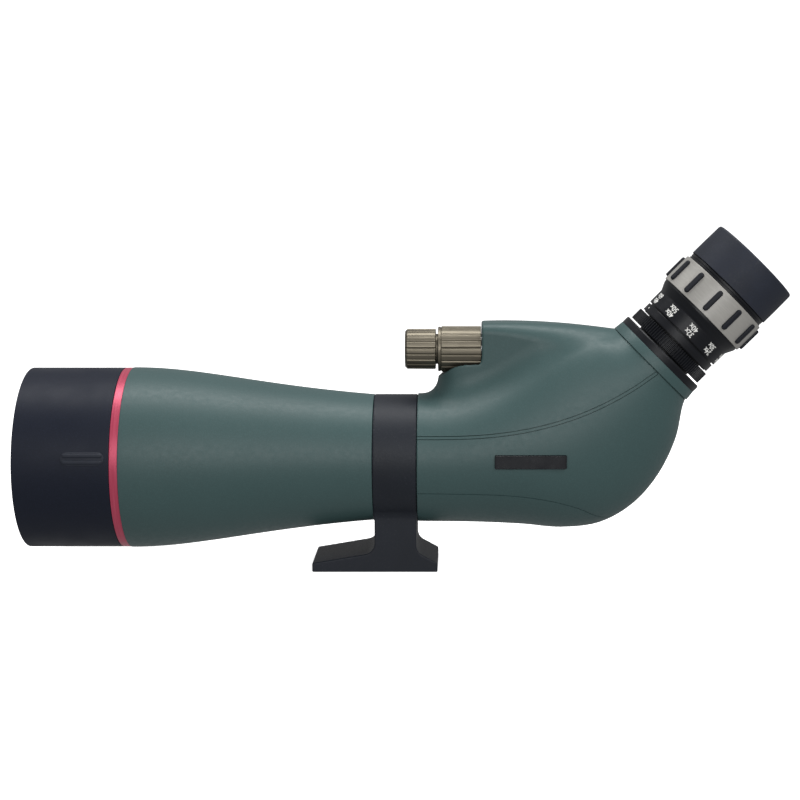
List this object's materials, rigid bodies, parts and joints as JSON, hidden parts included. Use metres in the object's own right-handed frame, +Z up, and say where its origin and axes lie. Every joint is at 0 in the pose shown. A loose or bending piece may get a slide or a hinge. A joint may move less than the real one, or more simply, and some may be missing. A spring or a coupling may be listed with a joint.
{
  "type": "spotting scope",
  "caption": "Angled spotting scope with a sliding hood, tapered barrel, two-speed focus knobs, zoom eyepiece and a rotating tripod collar with a foot.",
  "frame": {"origin": "mouth of the tripod thread, in the foot's underside, below the middle of the collar", "axes": "+Z up, out of the tripod; the optical axis runs along X, the objective points to -X and the eyepiece leans to +X"},
  "size_m": [0.4006, 0.0964, 0.1801],
  "materials": {
    "black_casting": "fine cast texture, satin black paint",
    "green_armour": "soft matte green coating",
    "hood_black": "smooth matte black",
    "black_alloy": "black anodised",
    "black_rubber": "matte moulded rubber",
    "rose_anodised": "anodised, satin",
    "gunmetal": "brushed, warm grey",
    "grey_paint": "satin warm grey",
    "badge_black": "gloss black",
    "steel": "machined",
    "bare_alloy": "machined",
    "brass": "machined",
    "nylon": "natural nylon",
    "felt": "short felt",
    "lens_glass": "coated optical glass"
  },
  "bodies": {
    "collar_foot": {"tripod_collar": "black_casting", "foot_bush": "steel", "collar_liner": "nylon"},
    "lock_pad": {"lock_pad": "nylon"},
    "lock_knob": {"lock_screw": "black_alloy"},
    "scope": {"front_tube": "black_alloy", "hood_guide_band": "felt", "lens_cell": "black_alloy", "lens_seal": "black_rubber", "front_objective_lens": "lens_glass", "objective_spacer": "black_alloy", "rear_objective_lens": "lens_glass", "lens_retainer": "black_alloy", "name_ring": "rose_anodised", "barrel": "green_armour", "light_baffles": "black_alloy", "centre_tube": "black_alloy", "front_rod_plate": "bare_alloy", "rear_rod_plate": "bare_alloy", "guide_rods": "steel", "reducer_race": "steel", "focus_bearing": "brass", "body_housing": "green_armour", "badge": "badge_black", "roof_prism": "lens_glass", "prism_bracket": "bare_alloy", "prism_clips": "steel", "prism_screws": "steel", "eyepiece_socket": "black_alloy"},
    "hood": {"hood": "hood_black", "hood_grips": "black_rubber"},
    "coarse_focus": {"coarse_knob": "gunmetal", "coarse_shaft": "steel", "reduction_balls": "steel"},
    "fine_focus": {"fine_knob": "gunmetal", "fine_shaft": "steel"},
    "focus_carriage": {"focus_carriage": "bare_alloy", "focus_lens": "lens_glass", "focus_lens_retainer": "black_alloy"},
    "eyepiece": {"eyepiece_barrel": "black_alloy", "field_lens": "lens_glass", "index_ring": "black_alloy", "trim_ring": "black_alloy", "eye_lens_cell": "black_alloy", "eye_lens": "lens_glass"},
    "lock_ring": {"lock_ring": "black_alloy"},
    "zoom_ring": {"number_ring": "black_alloy", "zoom_grip": "grey_paint", "zoom_pads": "black_rubber", "zoom_cam": "brass"},
    "front_zoom_group": {"front_zoom_cell": "black_alloy", "front_zoom_lens": "lens_glass"},
    "rear_zoom_group": {"rear_zoom_cell": "black_alloy", "rear_zoom_lens": "lens_glass"},
    "eyecup_sleeve": {"eyecup_sleeve": "black_alloy"},
    "eyecup": {"eyecup": "black_rubber"}
  },
  "joints": [
    {"name": "scope_roll", "type": "hinge", "parent": "collar_foot", "child": "scope", "pos_m": [0, 0, 0.058], "axis": [1, 0, 0], "range_deg": [-135, 135]},
    {"name": "lock_pad_travel", "type": "slide", "parent": "collar_foot", "child": "lock_pad", "axis": [0, 1, 0], "range_m": [0, 0.00075]},
    {"name": "lock_screw_turn", "type": "hinge", "parent": "lock_pad", "child": "lock_knob", "pos_m": [0, 0.04, 0.058], "axis": [0, 1, 0], "range_deg": [0, 270]},
    {"name": "hood_slide", "type": "slide", "parent": "scope", "child": "hood", "axis": [-1, 0, 0], "range_m": [0, 0.03]},
    {"name": "coarse_focus_turn", "type": "hinge", "parent": "scope", "child": "coarse_focus", "pos_m": [0.03, 0, 0.1158], "axis": [1, 0, 0], "range_deg": [-270, 270]},
    {"name": "fine_focus_turn", "type": "hinge", "parent": "scope", "child": "fine_focus", "pos_m": [0.013, 0, 0.1158], "axis": [1, 0, 0], "range_deg": [-1890, 1890]},
    {"name": "focus_travel", "type": "slide", "parent": "scope", "child": "focus_carriage", "axis": [1, 0, 0], "range_m": [-0.006, 0.006]},
    {"name": "eyepiece_lift", "type": "slide", "parent": "scope", "child": "eyepiece", "axis": [0.7071, 0, 0.7071], "range_m": [0, 0.045]},
    {"name": "lock_ring_turn", "type": "hinge", "parent": "eyepiece", "child": "lock_ring", "pos_m": [0.1386, 0, 0.1116], "axis": [0.7071, 0, 0.7071], "range_deg": [0, 30]},
    {"name": "zoom_turn", "type": "hinge", "parent": "eyepiece", "child": "zoom_ring", "pos_m": [0.1386, 0, 0.1116], "axis": [-0.7071, 0, -0.7071], "range_deg": [0, 144]},
    {"name": "front_zoom_travel", "type": "slide", "parent": "eyepiece", "child": "front_zoom_group", "axis": [0.7071, 0, 0.7071], "range_m": [0, 0.008]},
    {"name": "rear_zoom_travel", "type": "slide", "parent": "eyepiece", "child": "rear_zoom_group", "axis": [0.7071, 0, 0.7071], "range_m": [-0.006, 0]},
    {"name": "eyecup_rise", "type": "slide", "parent": "eyepiece", "child": "eyecup_sleeve", "axis": [0.7071, 0, 0.7071], "range_m": [0, 0.008]},
    {"name": "eyecup_twist", "type": "hinge", "parent": "eyecup_sleeve", "child": "eyecup", "pos_m": [0.1386, 0, 0.1116], "axis": [0.7071, 0, 0.7071], "range_deg": [0, 120]}
  ],
  "couplings": [
    {"joint": "lock_pad_travel", "follows": "lock_screw_turn", "m_per_rad": 0.000159},
    {"joint": "fine_focus_turn", "follows": "coarse_focus_turn", "ratio": 7},
    {"joint": "focus_travel", "follows": "coarse_focus_turn", "m_per_rad": 0.001273},
    {"joint": "front_zoom_travel", "follows": "zoom_turn", "m_per_rad": 0.0031831},
    {"joint": "rear_zoom_travel", "follows": "zoom_turn", "m_per_rad": -0.0023873},
    {"joint": "eyecup_rise", "follows": "eyecup_twist", "m_per_rad": 0.0038197}
  ]
}
